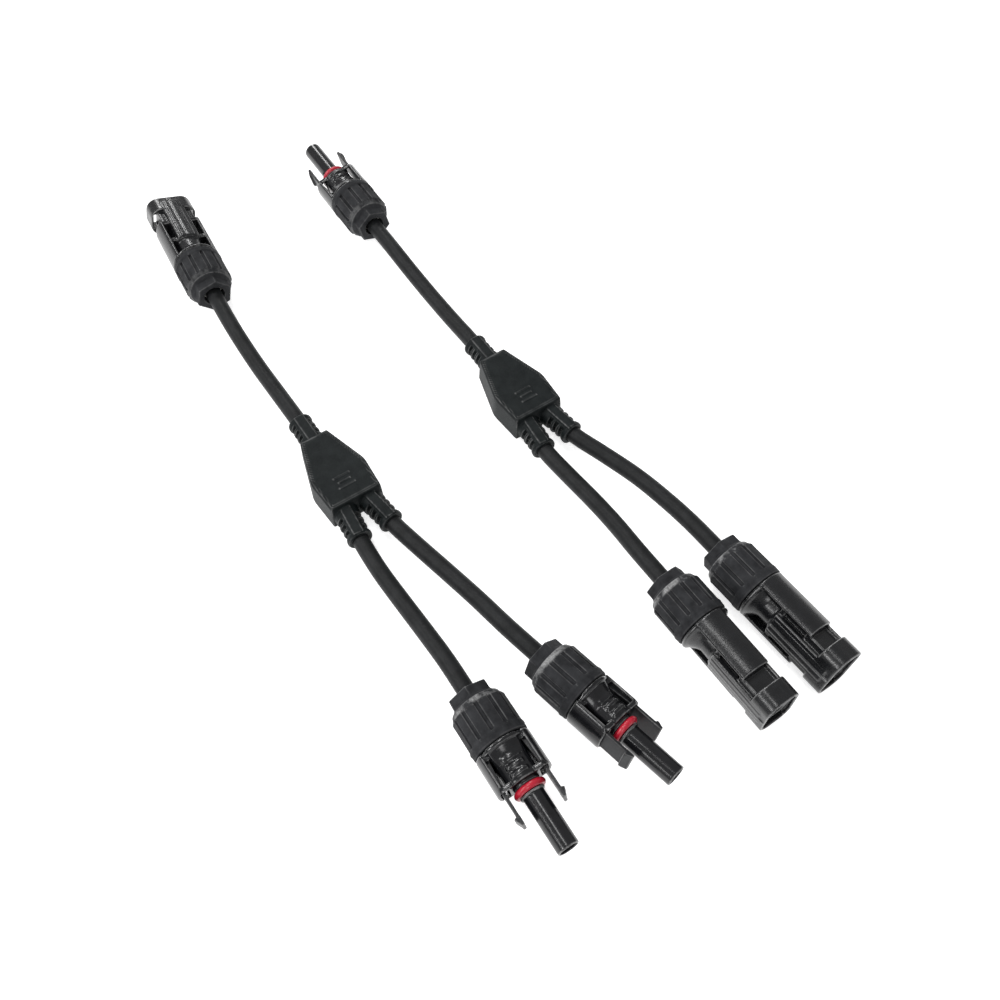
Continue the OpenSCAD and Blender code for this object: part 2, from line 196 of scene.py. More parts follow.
def join(a, b, k=0.3):
    """Both shapes in one, with a fillet about k mm wide where they meet."""
    h = np.clip(0.5 + 0.5 * (b - a) / k, 0, 1)
    return b + (a - b) * h - k * h * (1 - h)


def both(a, b, k=0.3):
    """What two shapes share, with the edge where they meet rounded."""
    return -join(-a, -b, k)


def cut(a, b, k=0.3):
    """The first shape without the second."""
    return both(a, -b, k)


def turned(p, angle):
    """The grid turned about x, so that what is drawn upright appears turned by angle."""
    c, s = math.cos(angle), math.sin(angle)
    return p[0], c * p[1] + s * p[2], c * p[2] - s * p[1]


def sharpness(field, cell):
    """How sharply each grid cell's surface bends outwards: 0 when flat, 1 on an outer edge.
    It is read just outside the surface, where thin walls don't disturb the field."""
    bend = np.zeros_like(field)
    inner = (slice(1, -1),) * 3
    bend[inner] = -6 * field[inner]
    for axis in range(3):
        for way in (slice(0, -2), slice(2, None)):
            beside = list(inner)
            beside[axis] = way
            bend[inner] += field[tuple(beside)]
    weight = (field >= 0).astype(np.float32)
    bend *= weight / cell ** 2
    for axis in range(3):
        bend = np.delete(bend, 0, axis) + np.delete(bend, -1, axis)
        weight = np.delete(weight, 0, axis) + np.delete(weight, -1, axis)
    bend /= np.maximum(weight, 1)
    return np.clip((bend - EDGE_FLAT) / (EDGE_SHARP - EDGE_FLAT), 0, 1)


def skin(shape, low, high, cell):
    """A mesh, in metres, round the field that shape(grid) gives between two corners, and how
    sharp its edges are."""
    axes = [np.arange(a - 2 * cell, b + 3 * cell, cell, dtype=np.float32) for a, b in zip(low, high)]
    field = shape(np.meshgrid(*axes, indexing="ij", sparse=True))
    size = [n - 1 for n in field.shape]
    solid = field < 0
    total = np.zeros((*size, 3), np.float32)
    count = np.zeros(size, np.float32)

    def corner(values, start):
        return values[tuple(slice(s, s + n) for s, n in zip(start, size))]

    for axis in range(3):
        for u in (0, 1):
            for v in (0, 1):
                start = [0, 0, 0]
                start[(axis + 1) % 3], start[(axis + 2) % 3] = u, v
                end = list(start)
                end[axis] = 1
                a, b = corner(field, start), corner(field, end)
                crossed = corner(solid, start) != corner(solid, end)
                count += crossed
                total[..., axis] += np.where(crossed, a / np.where(crossed, a - b, 1), 0)
                total[..., (axis + 1) % 3] += crossed * u
                total[..., (axis + 2) % 3] += crossed * v
    used = count > 0
    number = np.full(size, -1, np.int64)
    number[used] = np.arange(used.sum())
    points = np.argwhere(used) + total[used] / count[used][:, None]
    points = (points * cell + [a[0] for a in axes]) * MM
    quads = []
    for axis in range(3):
        o1, o2 = (axis + 1) % 3, (axis + 2) % 3
        inner = [slice(None)] * 3
        inner[o1], inner[o2] = slice(1, -1), slice(1, -1)
        near, far = list(inner), list(inner)
        near[axis], far[axis] = slice(0, -1), slice(1, None)
        near, far = solid[tuple(near)], solid[tuple(far)]
        at = np.argwhere(near != far)
        at[:, [o1, o2]] += 1
        outward = near[near != far]
        ring = []
        for d1, d2 in ((-1, -1), (0, -1), (0, 0), (-1, 0)):
            c = at.copy()
            c[:, o1] += d1
            c[:, o2] += d2
            ring.append(number[tuple(c.T)])
        ring = np.stack(ring, 1)
        quads.append(np.where(outward[:, None], ring, ring[:, ::-1]))
    return points, np.concatenate(quads), sharpness(field, cell)[used]


def build_mesh(name, points, quads, edges):
    """A smooth-shaded mesh that carries what the materials read: how sharp each edge is, and the
    place along the piece's own x in mm."""
    mesh = bpy.data.meshes.new(name)
    mesh.vertices.add(len(points))
    mesh.vertices.foreach_set("co", points.astype(np.float32).ravel())
    mesh.loops.add(quads.size)
    mesh.loops.foreach_set("vertex_index", quads.astype(np.int32).ravel())
    mesh.polygons.add(len(quads))
    mesh.polygons.foreach_set("loop_start", np.arange(0, quads.size, 4, dtype=np.int32))
    mesh.polygons.foreach_set("use_smooth", np.ones(len(quads), bool))
    mesh.update(calc_edges=True)
    mesh.validate()
    for attribute, values in (("edge", edges), ("along", points[:, 0] / MM)):
        data = mesh.attributes.new(attribute, "FLOAT", "POINT").data
        data.foreach_set("value", values.astype(np.float32))
    return mesh


# ---------- gland nut ----------

NUT_LEN = 20
NUT_R = 9.6
NUT_RIM_START = 17
NUT_RIBS = 12
RIB_STEP = 2 * math.pi / NUT_RIBS
COLLAR_LEN = 4.6
COLLAR_HALF_FLAT = 6.55
RIB_OUT = 9.42
RIB_MIDDLE = 12.5
RIB_HALF_LEN = 6
GROOVE_MIDDLE = 11.6
GROOVE_HALF_LEN = 4.7
GROOVE_R = 0.62
GROOVE_FLOOR_R = 8.7
NUT_MOUTH_LEN = 3.6
NUT_MOUTH_R = 4.1
NUT_BORE_START = 7.4
NUT_BORE_R = 7.75
# Cones: where each starts and ends, and its radius there
RIB_RISE = (4, 18, 8.4, 15.4)
LEDGE_FRONT = (3.5, 4.7, 7.1, 8.4)
LEDGE_TOP = (4.6, 7, 8.4, 9.45)
NUT_BORE_CONE = (3.4, NUT_BORE_START, 4.2, 6.95)


def ribs_folded(p):
    """Distances across and out from the nearest rib line, ribs spaced evenly about x."""
    angle = np.arctan2(p[2], p[1])
    off = (angle + RIB_STEP / 2) % RIB_STEP - RIB_STEP / 2
    rho = np.hypot(p[1], p[2])
    return rho * np.sin(off), rho * np.cos(off)


def hexagon(p, half_flat):
    flats = [abs(p[1] * math.cos(a) + p[2] * math.sin(a)) for a in (0, math.pi / 3, -math.pi / 3)]
    return np.maximum(np.maximum(flats[0], flats[1]), flats[2]) - half_flat


def nut_shape(p):
    x = p[0]
    across, out = ribs_folded(p)
    _, out_mid = ribs_folded(turned(p, RIB_STEP / 2))
    collar = both(hexagon(p, COLLAR_HALF_FLAT), abs(x - COLLAR_LEN / 2) - COLLAR_LEN / 2, 0.5)
    flats = np.maximum(out_mid - RIB_OUT, abs(x - RIB_MIDDLE) - RIB_HALF_LEN)
    rim = round_rod(p, NUT_RIM_START, NUT_LEN, NUT_R, 0.6)
    barrel = join(both(flats, cone(p, *RIB_RISE), 0.5), rim, 0.6)
    ledge = join(cone(p, *LEDGE_FRONT), cone(p, *LEDGE_TOP), 0.3)
    body = join(join(barrel, ledge, 0.4), collar, 0.5)
    groove = np.hypot(np.maximum(abs(x - GROOVE_MIDDLE) - GROOVE_HALF_LEN, 0), across) - GROOVE_R
    body = cut(body, np.maximum(groove, GROOVE_FLOOR_R - out), 0.4)
    bore = join(join(round_rod(p, -3, NUT_MOUTH_LEN, NUT_MOUTH_R), cone(p, *NUT_BORE_CONE), 0.1),
                round_rod(p, NUT_BORE_START, NUT_LEN + 3, NUT_BORE_R), 0.1)
    return cut(body, bore, 0.5)


# ---------- neck of both housings ----------

NECK_START = 9
NECK_END = 20.3
THREAD_R = 7.4
THREAD_PITCH = 1.5
THREAD_DEPTH = 0.45
THREAD_MIDDLE = 15
THREAD_HALF_LEN = 3.6
THREAD_FADE = 1.2
SEAL_BORE_R = 6.1
SEAL_BORE_END = 17.6
CABLE_BORE_R = 3.25
CABLE_BORE_END = 19
CONTACT_START = 18.9


def neck_shape(p):
    """Threaded neck, open at the back for the cable seal."""
    turn = np.arctan2(p[2], p[1]) / (2 * math.pi)
    wave = abs((turn - p[0] / THREAD_PITCH) % 1 - 0.5) * 2
    fade = np.clip((abs(p[0] - THREAD_MIDDLE) - THREAD_HALF_LEN) / THREAD_FADE, 0, 1)
    neck = round_rod(p, NECK_START, NECK_END + 0.4, THREAD_R, 0.4)
    return both(neck, np.hypot(p[1], p[2]) - THREAD_R + THREAD_DEPTH * wave * (1 - fade), 0.1)


def neck_hollow(p):
    """Bores for the cable seal and, in front of it, for the cable."""
    seal = round_rod(p, NECK_START - 2, SEAL_BORE_END, SEAL_BORE_R)
    return join(seal, round_rod(p, SEAL_BORE_END - 0.6, CABLE_BORE_END, CABLE_BORE_R), 0.05)


# ---------- plug ----------

PLUG_FACE = 33.5
PLUG_LEN = 56.5
FLANGE_R = 8.9
FLANGE_END = 21.7
BODY_R = 6.4
BODY_HALF_W = 5.3
BODY_CONE_END = 26
WING_IN = 7.0
WING_HALF_H = 5.8
WEB_HALF_H = 5.4
WEB_END = 23
FRONT_WEB = 1.7
POCKET_START = 21.5
POCKET_FLOOR = 4.15
POCKET_IN = 5.6
POCKET_OUT = 8.3
BAR_MIDDLES = (26, 28.6, 31.2)
BAR_HALF_LEN = 0.75
BAR_HALF_W = 2.9
BAR_RISE = 0.62
BOSS_R = 4.6
BOSS_END = 34.6
# The O-ring's seat, between the boss and a thin rim
SEAT_R = 3.25
RIM_R = 4.3
RIM_START = 37
RIM_END = 37.8
BARREL_R = 3.65
BARREL_START = 37.5
SOCKET_CONTACT_R = 2.7
SOCKET_CONTACT_END = 54.3
BARREL_MOUTH_R = 2.3
BARREL_FLARE_R = 3
BARREL_FLARE_LEN = 1.2


def plug_shape(p):
    x, y, z = p
    rho = np.hypot(y, z)
    aside, side = abs(y), abs(z)
    length = np.maximum(NECK_END - x, x - PLUG_FACE)
    behind = cone(p, NECK_END, BODY_CONE_END, FLANGE_R, BODY_R)
    body = both(join(both(rho - BODY_R, length, 0.6), behind, 1.2), aside - BODY_HALF_W, 0.6)
    body = join(body, round_rod(p, NECK_END, FLANGE_END, FLANGE_R, 0.5), 0.5)
    wing = both(both(rho - NUT_R, WING_IN - aside, 0.3), side - WING_HALF_H, 0.6)
    corner = (side - 4.2 + x - PLUG_FACE + 1.6) * math.sqrt(0.5) - 1.13
    wing = both(wing, both(length, corner, 0.3), 0.5)
    webs = [round_box((x, aside, z), (start, 4, -WEB_HALF_H), (stop, 7.4, WEB_HALF_H), 0.3)
            for start, stop in ((NECK_END, WEB_END), (PLUG_FACE - FRONT_WEB, PLUG_FACE))]
    floor = round_box((x, aside, z), (21.8, 4.3, -5.35), (PLUG_FACE - 1, 7.6, -4.25), 0.15)
    shape = join(join(join(body, wing, 0.4), join(*webs, 0.1), 0.4), floor, 0.2)
    pocket = round_box((x, aside, z), (POCKET_START, POCKET_IN, -POCKET_FLOOR),
                       (PLUG_LEN + 3.5, POCKET_OUT, POCKET_FLOOR), 0.2)
    shape = cut(shape, pocket, 0.25)
    # Plain bars in relief on top and bottom
    for middle in BAR_MIDDLES:
        bar = both(rho - BODY_R - BAR_RISE, abs(x - middle) - BAR_HALF_LEN, 0.6)
        shape = join(shape, both(bar, aside - BAR_HALF_W, 0.6), 0.75)
    boss = round_rod(p, PLUG_FACE - 1, BOSS_END, BOSS_R, 0.3)
    front = join(boss, round_rod(p, BOSS_END - 0.6, RIM_START + 1, SEAT_R), 0.1)
    front = join(front, round_rod(p, RIM_START, RIM_END, RIM_R, 0.25), 0.15)
    front = join(front, round_rod(p, BARREL_START, PLUG_LEN, BARREL_R, 0.35), 0.3)
    shape = join(join(shape, front, 0.3), neck_shape(p), 0.2)
    contact = round_rod(p, CONTACT_START, SOCKET_CONTACT_END, SOCKET_CONTACT_R)
    mouth = round_rod(p, SOCKET_CONTACT_END - 0.3, PLUG_LEN + 2, BARREL_MOUTH_R)
    hollow = join(join(neck_hollow(p), contact, 0.05), mouth, 0.05)
    flare = round_rod(p, PLUG_LEN - BARREL_FLARE_LEN, PLUG_LEN + 2, BARREL_FLARE_R)
    hollow = join(hollow, flare, 0.15)
    return cut(shape, hollow, 0.2)


# ---------- latch arm, on the +y side ----------

LATCH_IN = 6.85
LATCH_OUT = 7.95
LATCH_HALF_W = 3.7
LATCH_ROOT = 21.8
LATCH_TIP = 44
ROOT_END = 34
BARB_START = 41.2
BARB_SLOPE_START = 41.4
BARB_OUT = 9.0
BARB_R = 9.4


def latch_shape(p):
    x, y, z = p
    plate = round_box(p, (LATCH_ROOT, LATCH_IN, -LATCH_HALF_W), (LATCH_TIP, LATCH_OUT, LATCH_HALF_W), 0.2)
    # The arm thickens towards its root
    root = round_box(p, (LATCH_ROOT, 5.8, -LATCH_HALF_W), (ROOT_END, LATCH_OUT, LATCH_HALF_W), 0.2)
    plate = join(plate, np.maximum(root, 5.85 + (x - 22) * 0.085 - y), 0.2)
    # The barb rises to its catch and slopes off to the tip
    slope = (y - BARB_OUT + (x - BARB_SLOPE_START) * 0.5) * 0.894
    barb = round_box(p, (BARB_START, LATCH_IN, -LATCH_HALF_W), (LATCH_TIP, BARB_OUT, LATCH_HALF_W), 0.2)
    barb = both(barb, slope, 0.2)
    return both(join(plate, barb, 0.25), np.hypot(y, z) - BARB_R, 0.3)


# ---------- socket ----------

BULGE_R = 9.2
BULGE_FRONT_R = 6
WAIST_R = 5.3
WAIST_BACK_R = 5.9
RING_R = 6.7
CORE_HALF = 6.6
CORE_START = 30.6
CORE_END = 54
SPINE_HALF_W = 4.3
STEP_HALF_W = 2.7
RIDGE_HALF_W = 0.45
RIDGE_END = 56
NECK_BOX_HALF_W = 7
NECK_BOX_HALF_H = 5.2
CHEEK_IN = 7
CHEEK_HALF_H = 5.3
CHEEK_END = 43.3
# Webs between the core and the cheeks, from and to
WEBS = ((NECK_END, 22.5), (CORE_START, 32.6), (41.5, CHEEK_END))
HEAD_START = 49.1
HEAD_HALF_W = 9.4
SOCKET_LEN = 56.5
PIN_BORE_R = 2.75
SOCKET_BORE_START = 33
SOCKET_BORE_R = 4.05
HEAD_BORE_R = 5.25
MOUTH_HALF_W = 8.3
MOUTH_HALF_H = 5.8
MOUTH_START = 55.1
# The channels that take the plug's arms, and the windows that their barbs catch in
CHANNEL_IN = 5.75
CHANNEL_OUT = 8.35
CHANNEL_HALF_H = 4
WINDOW_IN = 6.4
WINDOW_HALF_H = 4.2


def oval(y, z, half_w, half_h, r):
    """A rectangle across x with its corners rounded by r."""
    u, v = abs(y) - (half_w - r), abs(z) - (half_h - r)
    return np.hypot(np.maximum(u, 0), np.maximum(v, 0)) + np.minimum(np.maximum(u, v), 0) - r


def socket_shape(p):
    x, y, z = p
    rho = np.hypot(y, z)
    aside, side = abs(y), abs(z)
    bulge = join(round_rod(p, NECK_END, 21.6, BULGE_R, 0.3),
                 cone(p, 21.2, 25.1, BULGE_R - 0.05, BULGE_FRONT_R), 0.9)
    waist = round_rod(p, 24, CORE_END, WAIST_R)
    waist = join(waist, round_rod(p, 24, CORE_START + 0.5, WAIST_BACK_R, 0.2), 0.2)
    waist = join(bulge, waist, 1.0)
    ring = round_rod(p, CORE_START - 0.5, CORE_START + 1, RING_R, 0.45)
    # Ribs on top and below: a wide spine, a step on it and a thin ridge on that
    upright = (x, y, side)
    spine = round_box((x, aside, side), (CORE_START, -1, 4), (CORE_END, SPINE_HALF_W, CORE_HALF), 0.45)
    step = round_box(upright, (CORE_START + 0.4, -STEP_HALF_W, 6),
                     (CORE_END, STEP_HALF_W, CORE_HALF + 0.25), 0.25)
    ridge = round_box(upright, (CORE_START + 0.5, -RIDGE_HALF_W, 6),
                      (RIDGE_END, RIDGE_HALF_W, CORE_HALF + 0.5), 0.2)
    box = round_box(p, (CHEEK_END - 1, -NECK_BOX_HALF_W, -NECK_BOX_HALF_H),
                    (HEAD_START + 1, NECK_BOX_HALF_W, NECK_BOX_HALF_H), 0.5)
    core = join(join(waist, ring, 0.5), join(join(spine, step, 0.2), ridge, 0.2), 0.3)
    core = join(core, box, 0.4)
    cheek = both(both(rho - NUT_R, CHEEK_IN - aside, 0.25), side - CHEEK_HALF_H, 0.5)
    cheek = both(cheek, np.maximum(NECK_END - x, x - CHEEK_END), 0.5)
    shape = join(core, cheek, 0.4)
    for start, stop in WEBS:
        web = round_box((x, aside, z), (start, 4, -5), (stop, 7.2, 5), 0.3)
        shape = join(shape, web, 0.4)
    head = oval(y, z, HEAD_HALF_W, CORE_HALF, 4.8)
    head = both(head, np.maximum(HEAD_START - x, x - SOCKET_LEN), 0.4)
    shape = join(join(shape, head, 0.25), neck_shape(p), 0.2)
    hollow = join(neck_hollow(p), round_rod(p, CONTACT_START, SOCKET_BORE_START + 1, PIN_BORE_R), 0.05)
    hollow = join(hollow, round_rod(p, SOCKET_BORE_START, 50, SOCKET_BORE_R), 0.05)
    hollow = join(hollow, round_rod(p, HEAD_START + 0.3, 60, HEAD_BORE_R), 0.1)
    mouth = np.maximum(oval(y, z, MOUTH_HALF_W, MOUTH_HALF_H, 4.4), MOUTH_START - x)
    channel = round_box((x, aside, z), (CHEEK_END, CHANNEL_IN, -CHANNEL_HALF_H),
                        (60, CHANNEL_OUT, CHANNEL_HALF_H), 0.2)
    window = round_box((x, aside, z), (CHEEK_END, WINDOW_IN, -WINDOW_HALF_H),
                       (HEAD_START, 12, WINDOW_HALF_H), 0.3)
    hollow = join(join(join(hollow, mouth, 0.1), channel, 0.1), window, 0.1)
    return cut(shape, hollow, 0.3)


# ---------- branch block ----------

BLOCK_LEN = 32
BLOCK_SHOULDER = 18.5
BLOCK_H = 12.6
BLOCK_W1 = 11.2
BLOCK_W2 = 22
BLOCK_TAPER = 0.9
PARTING_Z = 2.2
# A thin line runs round the top, and three bars lie on it: where each starts and its half width
LINE_INSET = 1.3
LINE_HALF_W = 0.14
LINE_DEPTH = 0.22
BLOCK_BARS = ((20.6, 3.4), (22.9, 2.6), (25.2, 3.4))
BLOCK_BAR_LEN = 0.9
BLOCK_BAR_RISE = 0.25
CABLE_Z = 6.3
BRANCH_Y = 5
# Where each sleeve leaves the block, and its turn about z
SLEEVES = (((0, 0), 180), ((BLOCK_LEN, -BRANCH_Y), -5), ((BLOCK_LEN, BRANCH_Y), 8))
SLEEVE_LEN = 12.5
SLEEVE_R = 4.8
SLEEVE_CORE_R = 3.35
SLOT_START = 3.1
SLOT_STEP = 2.7
SLOT_LEN = 1.5


def sleeve_shape(p):
    """Bend-relief sleeve along +x from the block's face, slotted from both sides."""
    x, y, z = p
    body = both(cone(p, -2, SLEEVE_LEN, SLEEVE_R - 0.1, SLEEVE_R - 0.5), x - SLEEVE_LEN, 0.9)
    band = round_rod(p, SLEEVE_LEN - 1.9, SLEEVE_LEN - 0.2, SLEEVE_R - 0.2, 0.5)
    body = join(body, band, 0.4)
    spine = round_box((x, y, abs(z)), (-1, -1.9, 3), (SLEEVE_LEN - 0.6, 1.9, SLEEVE_R), 0.2)
    body = join(body, spine, 0.15)
    for i in range(3):
        start = SLOT_START + SLOT_STEP * i
        stop = start + SLOT_LEN
        slot = round_box((x, abs(y), z), (start, 2.5, -SLEEVE_R - 1), (stop, 7, SLEEVE_R + 1), 0.3)
        body = cut(body, np.maximum(slot, SLEEVE_CORE_R - np.hypot(y, z)), 0.3)
    return body


def moved(p, at, yaw):
    """The grid as seen from a place on the block's cable plane, turned about z by yaw."""
    c, s = math.cos(math.radians(yaw)), math.sin(math.radians(yaw))
    x, y = p[0] - at[0], p[1] - at[1]
    return c * x + s * y, c * y - s * x, p[2] - CABLE_Z


def block_sides(p, inset):
    """Distance to the block's walls, drawn in by inset."""
    x, aside = p[0], abs(p[1])
    w1, w2 = BLOCK_W1 / 2 - inset, BLOCK_W2 / 2 - inset
    rise = (BLOCK_W2 - BLOCK_W1) / 2 / BLOCK_SHOULDER
    fall = BLOCK_TAPER / (BLOCK_LEN - BLOCK_SHOULDER)
    slant = (aside - w1 - rise * x) / math.hypot(1, rise)
    flank = (aside - w2 + fall * (x - BLOCK_SHOULDER)) / math.hypot(1, fall)
    ends = abs(x - BLOCK_LEN / 2) - BLOCK_LEN / 2 + inset
    return both(both(slant, flank, 0.6), ends, 0.5)


def block_shape(p):
    z = p[2]
    # The walls lean out to a parting line low on the block
    lean = 0.05 * (z - PARTING_Z) - 0.3 + np.maximum(PARTING_Z - z, 0) * 0.9
    block = both(block_sides(p, lean), np.maximum(-z, z - BLOCK_H), 0.9)
    inner = block_sides(p, LINE_INSET)
    block = cut(block, np.maximum(abs(inner) - LINE_HALF_W, BLOCK_H - LINE_DEPTH - z), 0.15)
    for start, half in BLOCK_BARS:
        bar = round_box(p, (start, -half, BLOCK_H - 1),
                        (start + BLOCK_BAR_LEN, half, BLOCK_H + BLOCK_BAR_RISE), 0.25)
        block = join(block, bar, 0.2)
    for at, yaw in SLEEVES:
        block = join(block, sleeve_shape(moved(p, at, yaw)), 0.35)
    for at, yaw in SLEEVES:
        block = cut(block, round_rod(moved(p, at, yaw), -8, SLEEVE_LEN + 3, CABLE_D / 2 + 0.03), 0.15)
    return block


# ---------- making the pieces ----------

# From a nut's back to its joint
NUT_BACK = 10
# Each block is placed by its copper splice, which starts this far from the block's narrow end
SPLICE_START = 11.6
# Grid steps
CELL = 0.3
LATCH_CELL = 0.2


def place(name, mesh, matrix, body, replaced, slot):
    """A copy of the mesh put at its place, on its body and over the CAD node that it replaces."""
    mesh = mesh.copy()
    mesh.transform(matrix)
    piece = bpy.data.objects.new(name, mesh)
    scene.collection.objects.link(piece)
    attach(piece, body)
    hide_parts(replaced)
    return piece


def connector_frame(end):
    """A connector's own frame: x forward from the back of its nut, latches on y."""
    turn = joints[end + "_nut_turn"]
    forward = -Vector(turn["axis"])
    back = Vector(turn["pos_m"]) - forward * NUT_BACK * MM
    yaw = math.atan2(forward.y, forward.x)
    roll = math.radians(ENDS[end][1])
    return Matrix.Translation(back) @ Matrix.Rotation(yaw, 4, "Z") @ Matrix.Rotation(roll, 4, "X")


nut_mesh = build_mesh("nut", *skin(nut_shape, (0, -9.8, -9.8), (NUT_LEN, 9.8, 9.8), CELL))
plug_mesh = build_mesh("plug", *skin(plug_shape, (NECK_START, -9.8, -9.2), (PLUG_LEN, 9.8, 9.2), CELL))
socket_mesh = build_mesh(
    "socket", *skin(socket_shape, (NECK_START, -9.8, -9.4), (SOCKET_LEN, 9.8, 9.4), CELL))
latch_mesh = build_mesh(
    "latch", *skin(latch_shape, (LATCH_ROOT, 5.7, -3.8), (LATCH_TIP, 9.4, 3.8), LATCH_CELL))
block_mesh = build_mesh("block", *skin(block_shape, (-13, -12.5, 0), (BLOCK_LEN + 13, 12.5, 13), CELL))

pieces = {}
for end, (kind, _) in ENDS.items():
    lead = "lead_" + end[0]
    at = connector_frame(end)
    housing = plug_mesh if kind == "plug" else socket_mesh
    shell, cap = end + "_shell", end + "_cap"
    pieces[shell] = place(shell, housing, at, lead, end + "_housing", "housing_plastic")
    pieces[cap] = place(cap, nut_mesh, at, end + "_nut", end + "_gland_nut", "nut_plastic")
    if kind == "plug":
        for side, turn in (("left", 0), ("right", math.pi)):
            name, latch = f"{end}_arm_{side}", f"{end}_latch_{side}"
            facing = at @ Matrix.Rotation(turn, 4, "X")
            pieces[name] = place(name, latch_mesh, facing, latch, latch, "latch_plastic")

for lead in "ab":
    low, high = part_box(lead + "_splice")
    corner = Vector((low.x - SPLICE_START * MM, (low.y + high.y) / 2, 0))
    name = lead + "_moulding"
    pieces[name] = place(name, block_mesh, Matrix.Translation(corner), "lead_" + lead,
                         lead + "_branch_block", "block_plastic")


# ---------- materials ----------

# Noise scales, per metre: colour patches, and patches a few mm wide of scuffs and painted highlight
MOTTLE_SCALE = 260
PATCH_SCALE = 190
BRUSH_SCALE = 900
# How far the roughness varies either way
ROUGH_SPREAD = 0.06
# How far a band of scuffs and painted highlight takes to fade in and out along the piece, in mm
SCUFF_AND_HIGHLIGHT_FADE_IN = 0.3
SCUFF_AND_HIGHLIGHT_FADE_OUT = 0.6


def new_material(name):
    material = bpy.data.materials.new(name)
    material.use_nodes = True
    tree = material.node_tree
    shader = tree.nodes["Principled BSDF"]
    place_node = tree.nodes.new("ShaderNodeTexCoord")
    return material, tree, shader, place_node.outputs["Object"]


def noise(tree, where, scale, detail=4, roughness=0.6):
    node = tree.nodes.new("ShaderNodeTexNoise")
    node.inputs["Scale"].default_value = scale
    node.inputs["Detail"].default_value = detail
    node.inputs["Roughness"].default_value = roughness
    tree.links.new(where, node.inputs["Vector"])
    return node.outputs["Fac"]


def spread(tree, value, low, high, out_low, out_high):
    node = tree.nodes.new("ShaderNodeMapRange")
    for key, number in (("From Min", low), ("From Max", high), ("To Min", out_low), ("To Max", out_high)):
        node.inputs[key].default_value = number
    tree.links.new(value, node.inputs["Value"])
    return node.outputs["Result"]


def mix_colour(tree, value, dark, light):
    node = tree.nodes.new("ShaderNodeMix")
    node.data_type = "RGBA"
    node.inputs["A"].default_value = (*dark, 1)
    node.inputs["B"].default_value = (*light, 1)
    tree.links.new(value, node.inputs["Factor"])
    return node.outputs["Result"]


def bump(tree, shader, value, distance, strength):
    node = tree.nodes.new("ShaderNodeBump")
    node.inputs["Distance"].default_value = distance
    node.inputs["Strength"].default_value = strength
    tree.links.new(value, node.inputs["Height"])
    tree.links.new(node.outputs["Normal"], shader.inputs["Normal"])


def attribute(tree, name):
    node = tree.nodes.new("ShaderNodeAttribute")
    node.attribute_name = name
    return node.outputs["Fac"]


def paint_rub_and_highlight(tree, base, where_rubbed_and_lit, wear_and_highlight):
    """Base colour turned to a grey as light as wear_and_highlight where the mask is 1, painting rubbing
    together with a painted highlight.
    """
    rubbed_and_lit = tree.nodes.new("ShaderNodeMix")
    rubbed_and_lit.data_type = "RGBA"
    rubbed_and_lit.inputs["B"].default_value = (wear_and_highlight, wear_and_highlight, wear_and_highlight, 1)
    tree.links.new(where_rubbed_and_lit, rubbed_and_lit.inputs["Factor"])
    tree.links.new(base, rubbed_and_lit.inputs["A"])
    return rubbed_and_lit.outputs["Result"]


def times(tree, a, b):
    node = tree.nodes.new("ShaderNodeMath")
    node.operation = "MULTIPLY"
    tree.links.new(a, node.inputs[0])
    tree.links.new(b, node.inputs[1])
    return node.outputs["Value"]


def plastic(name, dark, light, rough, grain, depth, wear_and_highlight=0.0, shine=0.5, scuff_and_highlight=None):
    """Moulded plastic or rubber: mottled from dark to light, with a grain so many per metre and
    depth metres deep, and edges painted as light as wear_and_highlight, which stands for rubbing
    and for a painted highlight on them. scuff_and_highlight is a band along the piece's own x that
    is painted lighter in patches, partly scuffs and partly a painted highlight: where it starts and
    stops, in mm, and how light it turns."""
    material, tree, shader, where = new_material(name)
    shader.inputs["Specular IOR Level"].default_value = shine
    mottle = noise(tree, where, MOTTLE_SCALE)
    fine = noise(tree, where, grain, 3)
    base = mix_colour(tree, spread(tree, mottle, 0.3, 0.7, 0, 1), dark, light)
    # Edges painted lighter: partly rubbing, partly a painted highlight along the edges
    if wear_and_highlight:
        patches = spread(tree, mottle, 0.35, 0.6, 0.3, 1)
        base = paint_rub_and_highlight(tree, base, times(tree, attribute(tree, "edge"), patches), wear_and_highlight)
    # A band along x painted lighter in patches: partly scuffs, partly a painted highlight on the nut's
    # ledge
    if scuff_and_highlight:
        along = attribute(tree, "along")
        start, stop, rubbed_and_lit = scuff_and_highlight
        after = spread(tree, along, start, start + SCUFF_AND_HIGHLIGHT_FADE_IN, 0, 1)
        before = spread(tree, along, stop - SCUFF_AND_HIGHLIGHT_FADE_OUT, stop, 1, 0)
        patches = spread(tree, noise(tree, where, PATCH_SCALE), 0.42, 0.62, 0, 1)
        band = times(tree, times(tree, after, before), times(tree, patches, fine))
        base = paint_rub_and_highlight(tree, base, band, rubbed_and_lit)
    tree.links.new(base, shader.inputs["Base Color"])
    roughness = spread(tree, fine, 0.3, 0.7, rough - ROUGH_SPREAD, rough + ROUGH_SPREAD)
    tree.links.new(roughness, shader.inputs["Roughness"])
    bump(tree, shader, fine, depth, 0.5)
    return material


